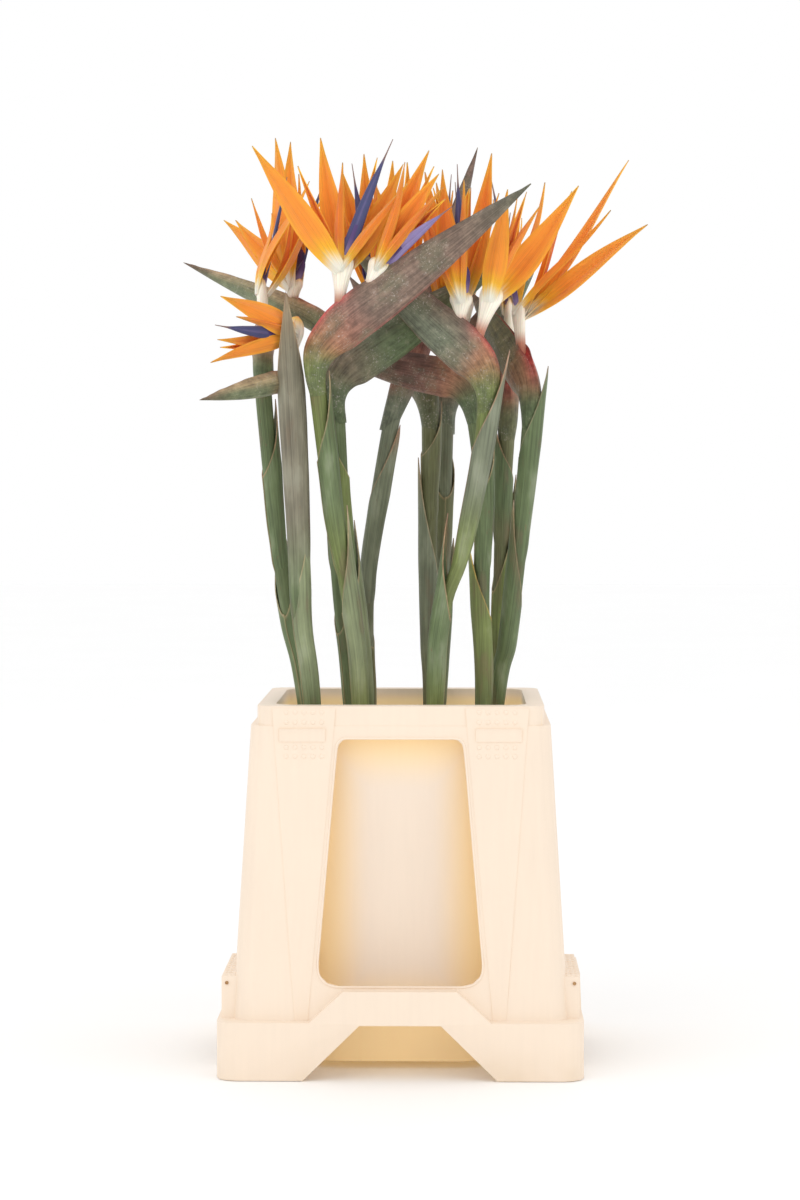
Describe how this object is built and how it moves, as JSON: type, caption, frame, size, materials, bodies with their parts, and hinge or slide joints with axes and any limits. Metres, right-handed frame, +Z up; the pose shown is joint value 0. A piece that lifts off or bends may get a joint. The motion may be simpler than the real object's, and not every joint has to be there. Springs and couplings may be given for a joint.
{
  "type": "cut bird of paradise flowers in a crate",
  "caption": "Cut bird of paradise flowers with orange sepals and blue petals, standing upright in a cream moulded plastic flower crate with feet and windows.",
  "frame": {"origin": "middle of the floor under the crate's four feet", "axes": "+Z up, along the stems; -Y towards the crate's front, which the two broad spathes in front face; +X to the right seen from the front"},
  "size_m": [0.3753, 0.28, 0.7352],
  "materials": {
    "crate_plastic": "moulded, slightly satin, cream",
    "water": "clear water",
    "stem_green": "living stem and spathe, grey-green with a waxy bloom",
    "sepal_orange": "thin living sepal, soft satin",
    "petal_blue": "thin living petal, matte"
  },
  "bodies": {
    "root": {"crate": "crate_plastic", "water": "water", "stem_01": "stem_green", "stem_02": "stem_green", "stem_03": "stem_green", "stem_04": "stem_green", "stem_05": "stem_green", "stem_06": "stem_green", "stem_07": "stem_green", "stem_08": "stem_green", "stem_09": "stem_green", "stem_10": "stem_green", "stem_11": "stem_green", "stem_12": "stem_green", "sepals_01": "sepal_orange", "sepals_02": "sepal_orange", "sepals_03": "sepal_orange", "sepals_04": "sepal_orange", "sepals_05": "sepal_orange", "sepals_06": "sepal_orange", "sepals_07": "sepal_orange", "sepals_08": "sepal_orange", "sepals_09": "sepal_orange", "sepals_10": "sepal_orange", "sepals_11": "sepal_orange", "sepals_12": "sepal_orange", "petals_01": "petal_blue", "petals_01_second": "petal_blue", "petals_02": "petal_blue", "petals_03": "petal_blue", "petals_04": "petal_blue", "petals_04_second": "petal_blue", "petals_05": "petal_blue", "petals_06": "petal_blue", "petals_07": "petal_blue", "petals_08": "petal_blue", "petals_09": "petal_blue", "petals_10": "petal_blue", "petals_11": "petal_blue", "petals_12": "petal_blue"}
  },
  "joints": []
}
